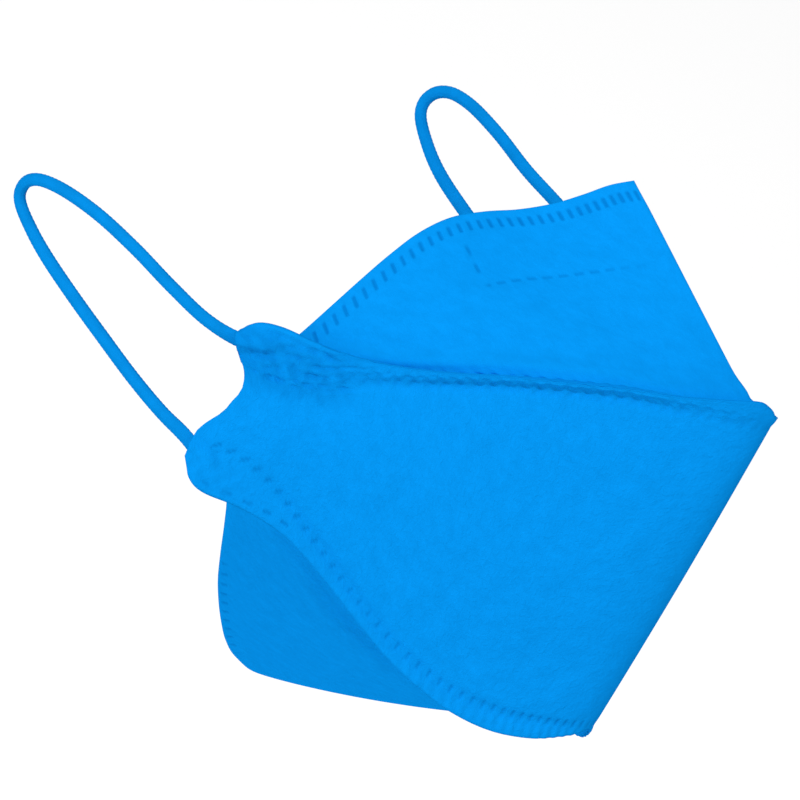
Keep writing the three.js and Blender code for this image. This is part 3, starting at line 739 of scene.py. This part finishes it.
def node(nt, kind, inputs=None, **props):
    n = nt.nodes.new(kind)
    for k, v in props.items():
        setattr(n, k, v)
    for k, v in (inputs or {}).items():
        if isinstance(v, bpy.types.NodeSocket):
            nt.links.new(v, n.inputs[k])
        else:
            n.inputs[k].default_value = v
    return n


def math_node(nt, op, a, b=None, clamp=False):
    n = nt.nodes.new("ShaderNodeMath")
    n.operation = op
    n.use_clamp = clamp
    for i, v in enumerate((a, b)):
        if v is None:
            continue
        if isinstance(v, bpy.types.NodeSocket):
            nt.links.new(v, n.inputs[i])
        else:
            n.inputs[i].default_value = v
    return n.outputs[0]


def nonwoven(name, relief):
    """Bonded web of fine fibres; relief says how deep its grain is, mm."""
    m, nt, bsdf = new_material(name)
    flat = node(nt, "ShaderNodeAttribute", attribute_name="flat").outputs["Vector"]
    # pressed welds and painted shade, read from the mesh
    weld_and_shade = node(nt, "ShaderNodeAttribute", attribute_name="weld_and_shade").outputs["Fac"]

    def fibres(angle, fine, coarse, seed):
        mp = node(nt, "ShaderNodeMapping", {"Vector": flat, "Rotation": (0, 0, math.radians(angle)),
                                            "Scale": (fine, coarse, 1), "Location": (seed, seed, 0)})
        return node(nt, "ShaderNodeTexNoise", {"Vector": mp.outputs[0], "Scale": 1.0, "Detail": 3.0,
                                               "Roughness": 0.6, "Distortion": 0.6}).outputs["Fac"]
    lays = [fibres(18, 3.4, 0.75, 3), fibres(-37, 3.0, 0.7, 17), fibres(78, 3.6, 0.8, 29)]
    web = math_node(nt, "ADD", math_node(nt, "ADD", lays[0], lays[1]), lays[2])
    web = math_node(nt, "MULTIPLY", web, 1 / 3)
    grain = node(nt, "ShaderNodeTexNoise", {"Vector": flat, "Scale": 0.80, "Detail": 3.0, "Roughness": 0.55,
                                            "Distortion": 0.9}).outputs["Fac"]
    cloud = node(nt, "ShaderNodeTexNoise", {"Vector": flat, "Scale": 0.30, "Detail": 3.0, "Roughness": 0.5}).outputs["Fac"]
    # colour: azure with faint clouds, deeper in the pressed welds and in the painted shade that rides with them
    mixed = math_node(nt, "ADD", math_node(nt, "MULTIPLY", cloud, 0.4), math_node(nt, "MULTIPLY", web, 0.3))
    mixed = math_node(nt, "ADD", mixed, math_node(nt, "MULTIPLY", grain, 0.3))
    ramp = node(nt, "ShaderNodeValToRGB", {"Fac": mixed})
    ramp.color_ramp.elements[0].position, ramp.color_ramp.elements[1].position = 0.38, 0.62
    ramp.color_ramp.elements[0].color = (*DEEP, 1)
    ramp.color_ramp.elements[1].color = (*BRIGHT, 1)
    shade = node(nt, "ShaderNodeMix", {"Factor": math_node(nt, "MULTIPLY", weld_and_shade, 0.75)}, data_type="RGBA")
    nt.links.new(ramp.outputs["Color"], shade.inputs[6])
    shade.inputs[7].default_value = (*PRESSED_AND_SHADE, 1)
    nt.links.new(shade.outputs[2], bsdf.inputs["Base Color"])
    rough = math_node(nt, "ADD", math_node(nt, "MULTIPLY", grain, 0.12), 0.78)
    nt.links.new(math_node(nt, "SUBTRACT", rough, math_node(nt, "MULTIPLY", weld_and_shade, 0.25)), bsdf.inputs["Roughness"])
    bsdf.inputs["Specular IOR Level"].default_value = 0.0
    height = math_node(nt, "ADD", math_node(nt, "MULTIPLY", web, 0.45), math_node(nt, "MULTIPLY", grain, 0.9))
    height = math_node(nt, "ADD", height, math_node(nt, "MULTIPLY", cloud, 0.5))
    bump = node(nt, "ShaderNodeBump", {"Height": height, "Strength": 0.6, "Distance": relief / 1000})
    nt.links.new(bump.outputs[0], bsdf.inputs["Normal"])
    return m


def elastic():
    m, nt, bsdf = new_material("elastic_blue")
    flat = node(nt, "ShaderNodeAttribute", attribute_name="flat").outputs["Vector"]
    fuzz = node(nt, "ShaderNodeTexNoise", {"Vector": flat, "Scale": 5.0, "Detail": 3.0, "Roughness": 0.65}).outputs["Fac"]
    drift = node(nt, "ShaderNodeTexNoise", {"Vector": flat, "Scale": 0.3, "Detail": 2.0}).outputs["Fac"]
    mixed = math_node(nt, "ADD", math_node(nt, "MULTIPLY", fuzz, 0.4), math_node(nt, "MULTIPLY", drift, 0.6))
    ramp = node(nt, "ShaderNodeValToRGB", {"Fac": mixed})
    ramp.color_ramp.elements[0].position, ramp.color_ramp.elements[1].position = 0.35, 0.65
    ramp.color_ramp.elements[0].color = (*LOOP_DEEP, 1)
    ramp.color_ramp.elements[1].color = (*LOOP_BRIGHT, 1)
    nt.links.new(ramp.outputs["Color"], bsdf.inputs["Base Color"])
    nt.links.new(math_node(nt, "ADD", math_node(nt, "MULTIPLY", fuzz, 0.2), 0.65), bsdf.inputs["Roughness"])
    bsdf.inputs["Specular IOR Level"].default_value = 0.0
    bump = node(nt, "ShaderNodeBump", {"Height": fuzz, "Strength": 0.5, "Distance": 0.00015})
    nt.links.new(bump.outputs[0], bsdf.inputs["Normal"])
    return m


DEEP = (0.0012, 0.205, 0.596)
BRIGHT = (0.0014, 0.230, 0.666)
# deep blue of the pressed welds, also the colour of the painted shade at the top seam, the tab and the cut edges
PRESSED_AND_SHADE = (0.0006, 0.128, 0.410)
LOOP_DEEP = (0.0012, 0.174, 0.498)
LOOP_BRIGHT = (0.0014, 0.202, 0.578)

# ------------------------------------------------------------------ the object
nonwoven_mat, smooth_mat, elastic_mat = nonwoven("nonwoven_blue", 0.42), nonwoven("nonwoven_blue_smooth", 0.17), elastic()

loops = {}
for side, name, cad in ((1, "ear_loop_left_elastic", "ear_loop_left"), (-1, "ear_loop_right_elastic", "ear_loop_right")):
    obj, centre, total = build_loop(side, name)
    obj.data.materials.append(elastic_mat)
    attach(obj, "root")
    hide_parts(cad)
    loops[cad] = total

middle, middle_grid = build_middle()
upper, upper_grid = build_folded("upper")
chin, chin_grid = build_folded("chin")
for obj, cad, which in ((middle, "middle_panel", "middle"), (upper, "upper_panel", "upper"), (chin, "chin_panel", "chin")):
    obj.data.materials.append(smooth_mat if which == "upper" else nonwoven_mat)
    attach(obj, "root")
    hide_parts(cad)


# ------------------------------------------------------------------ floor, light
def floor():
    bpy.ops.mesh.primitive_plane_add(size=14, location=(0, 0, FLOOR_Z))
    obj = bpy.context.object
    obj.name = "floor"
    m, nt, bsdf = new_material("pale_floor")
    co = node(nt, "ShaderNodeTexCoord").outputs["Object"]
    grain = node(nt, "ShaderNodeTexNoise", {"Vector": co, "Scale": 3.0, "Detail": 2.0}).outputs["Fac"]
    ramp = node(nt, "ShaderNodeValToRGB", {"Fac": grain})
    ramp.color_ramp.elements[0].color = (0.96, 0.96, 0.96, 1)
    ramp.color_ramp.elements[1].color = (0.98, 0.98, 0.98, 1)
    nt.links.new(ramp.outputs["Color"], bsdf.inputs["Base Color"])
    bsdf.inputs["Roughness"].default_value = 0.9
    bsdf.inputs["Specular IOR Level"].default_value = 0.1
    obj.data.materials.append(m)
    return obj


def area_light(name, where, size, power, target=(0, 0.01, -0.06)):
    data = bpy.data.lights.new(name, "AREA")
    data.shape = "DISK"
    data.size = size
    data.energy = power
    obj = bpy.data.objects.new(name, data)
    bpy.context.scene.collection.objects.link(obj)
    obj.location = where
    obj.rotation_mode = "QUATERNION"
    obj.rotation_quaternion = (Vector(where) - Vector(target)).to_track_quat("Z", "Y")
    return obj


FLOOR_Z = -0.40
floor()
world = bpy.data.worlds.new("studio")
bpy.context.scene.world = world
world.use_nodes = True
world.node_tree.nodes["Background"].inputs["Color"].default_value = (1, 1, 1, 1)
world.node_tree.nodes["Background"].inputs["Strength"].default_value = 0.71
area_light("key", (-2.48, -0.64, 3.08), 0.42, 103.0)
area_light("fill", (-1.5, 0.30, 0.05), 0.8, 3.6)
bpy.context.scene.view_settings.view_transform = "Standard"
bpy.context.scene.view_settings.look = "None"
bpy.context.scene.view_settings.exposure = 0.0
bpy.context.scene.view_settings.gamma = 1.0
